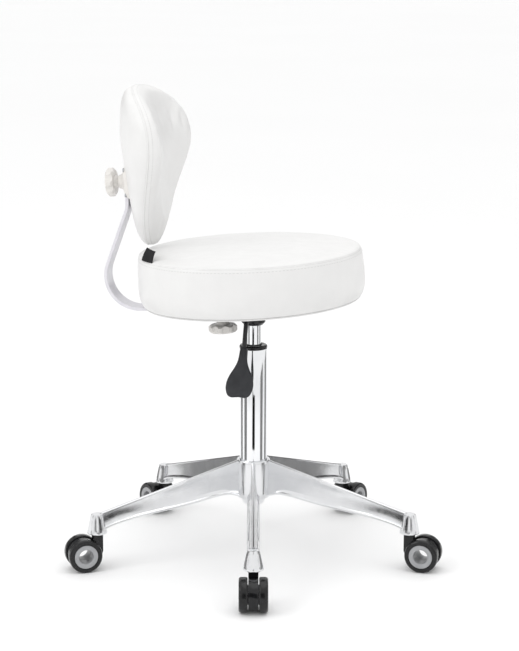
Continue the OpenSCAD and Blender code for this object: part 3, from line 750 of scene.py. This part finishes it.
# ---------------------------------------------------------------- lever paddle
LEVER_OUT, LEVER_BEND, LEVER_DROP, LEVER_Z = 58, 12, 55, 452.5
LEVER_SLOPE, PADDLE_SLOPE = rad(64), rad(52.5)
down = Vector((0, -math.cos(LEVER_SLOPE), -math.sin(LEVER_SLOPE)))
bend_end = Vector((0, -(LEVER_OUT + LEVER_BEND * math.sin(LEVER_SLOPE)),
                   LEVER_Z - LEVER_BEND * (1 - math.cos(LEVER_SLOPE))))
neck = bend_end + down * LEVER_DROP
blade = Vector((0, -math.cos(PADDLE_SLOPE), -math.sin(PADDLE_SLOPE)))
face_out = Vector((0, -math.sin(PADDLE_SLOPE), math.cos(PADDLE_SLOPE)))
# Half widths of the grip at distances along it, in millimetres
HALF = [(-10, 6.0), (-4, 7.0), (4, 7.3), (10, 7.7), (16, 8.4), (21, 9.7), (27, 11.8), (32, 14.2), (38, 17.2),
        (43, 19.7), (49, 22), (54, 23.6), (60, 24.5), (65, 24.7), (70, 24.4), (75, 23.2), (79, 21.4),
        (82.5, 18.6)]
TIP_AT, TIP_W, WIDEST, LOBE, GRIP_SIDES = 82.6, 13.5, 24.7, 4.2, 28


def grip_point(t, x, out):
    """Point at t along the grip and x across it, with the lower end drawn into two lobes."""
    lobe = LOBE * clamp((t - 70) / 12.5) ** 2 * (1 - abs(abs(x) / WIDEST - 0.45) / 0.55)
    return (neck + blade * (t + lobe) + Vector((x, 0, 0)) + face_out * out) * MM


rings = []
for t, w in HALF:
    ring = []
    swell = 6.6 - 3.2 * clamp((t + 4) / 30)
    for k in range(GRIP_SIDES):
        a = 2 * math.pi * k / GRIP_SIDES
        c, s = math.cos(a), math.sin(a)
        x = w * math.copysign(abs(c) ** 0.8, c)
        dish = -1.3 * clamp((t - 20) / 25) * (1 - (x / w) ** 2) if s > 0 else 0
        ring.append(grip_point(t, x, swell * math.copysign(abs(s) ** 0.7, s) + dish))
    rings.append(ring)
tip = []
for k in range(GRIP_SIDES):
    a = 2 * math.pi * k / GRIP_SIDES
    c = math.cos(a)
    tip.append(grip_point(TIP_AT, TIP_W * math.copysign(abs(c) ** 0.8, c), 1.2 * math.sin(a)))
rings.append(tip)
v, f = loft(rings)
paddle = make("lever_paddle_grip", v, f, "black_matt", "lever", 70)
smooth = paddle.modifiers.new("smooth", "SUBSURF")
smooth.levels = smooth.render_levels = 1
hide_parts("lever_paddle")

# ---------------------------------------------------------------- CAD nodes
SLOT_OF = {s["node"]: s["material_slot"] for s in record["subparts"]}
# Width of the rounded edges, in millimetres, by a word in the node's name
EDGE = {"housing": 0.9, "wheel": 0.5, "hub": 0.4, "knob": 1.1, "back_bar": 1.0, "collar": 0.3,
        "tube": 0.5, "socket": 0.6, "plate": 0.6, "guide": 0.6, "bolts": 0.4}
for name, obj in frame["nodes"].items():
    material = MATS[SLOT_OF[name]]
    for used in obj.material_slots:
        used.material = material
    if not obj.material_slots:
        obj.data.materials.append(material)
    width = next((w for key, w in EDGE.items() if key in name), 0.25)
    weld = obj.modifiers.new("weld", "WELD")
    weld.merge_threshold = 0.02 * MM
    bevel = obj.modifiers.new("edges", "BEVEL")
    bevel.width = width * MM
    bevel.segments = 3
    bevel.limit_method = "ANGLE"
    bevel.angle_limit = rad(32)
    bevel.harden_normals = True
    bevel.use_clamp_overlap = True

# ---------------------------------------------------------------- studio
floor_mesh = bpy.data.meshes.new("floor")
FLOOR = 60
floor_mesh.from_pydata([(-FLOOR, -FLOOR, 0), (FLOOR, -FLOOR, 0), (FLOOR, FLOOR, 0), (-FLOOR, FLOOR, 0)],
                       [], [(0, 1, 2, 3)])
floor = bpy.data.objects.new("floor", floor_mesh)
scene.collection.objects.link(floor)
fs = Shader("floor_white", 0.7, specular=0.2)
fs.colour(fs.noise(0.6, 2), (0.945, 0.945, 0.945), (0.955, 0.955, 0.955))
floor_mesh.materials.append(fs.mat)

world = bpy.data.worlds.new("studio")
scene.world = world
world.use_nodes = True
world.node_tree.nodes["Background"].inputs["Color"].default_value = (1, 1, 1, 1)
world.node_tree.nodes["Background"].inputs["Strength"].default_value = 1.03


def area(name, where, aim, size, power):
    data = bpy.data.lights.new(name, "AREA")
    data.shape = "RECTANGLE"
    data.size, data.size_y = size
    data.energy = power
    obj = bpy.data.objects.new(name, data)
    scene.collection.objects.link(obj)
    obj.location = where
    obj.rotation_euler = (Vector(aim) - Vector(where)).to_track_quat("-Z", "Y").to_euler()
    obj.visible_camera = False


area("key_left", (-2.2, -1.8, 2.4), (0, 0, 0.5), (1.6, 1.6), 18)
area("top_soft", (0.4, -0.4, 3.2), (0, 0, 0.4), (2.4, 2.4), 16)


def flag(name, azimuth, distance, width, low, high, tone):
    """A studio card that only shows in reflections."""
    c = Vector((math.sin(azimuth), -math.cos(azimuth), 0)) * distance
    side = Vector((math.cos(azimuth), math.sin(azimuth), 0)) * width / 2
    bottom, top = Vector((0, 0, low)), Vector((0, 0, high))
    mesh = bpy.data.meshes.new(name)
    mesh.from_pydata([c - side + bottom, c + side + bottom, c + side + top, c - side + top],
                     [], [(0, 1, 2, 3)])
    obj = bpy.data.objects.new(name, mesh)
    scene.collection.objects.link(obj)
    card = Shader(name + "_card", 0.9, specular=0.1)
    card.colour(card.noise(3), (tone, tone, tone), (tone * 1.15, tone * 1.15, tone * 1.15))
    mesh.materials.append(card.mat)
    obj.visible_camera = obj.visible_diffuse = obj.visible_shadow = obj.visible_transmission = False


BLACK, GREY, DARK = 0.004, 0.22, 0.015
for turn in (0, math.pi):
    flag("flag_centre_%d" % round(turn), AZIMUTH + turn, 0.8, 0.30, 0.0, 0.28, BLACK)
    flag("flag_left_%d" % round(turn), AZIMUTH - rad(68) + turn, 0.6, 0.25, 0.0, 0.34, GREY)
    flag("flag_right_%d" % round(turn), AZIMUTH + rad(68) + turn, 0.6, 0.25, 0.0, 0.34, GREY)
for side, offset in (("right", -38), ("left", 38)):
    flag("flag_back_" + side, AZIMUTH + math.pi + rad(offset), 5.0, 3.4, 0.6, 2.6, DARK)

scene.view_settings.view_transform = "Standard"
scene.view_settings.look = "None"
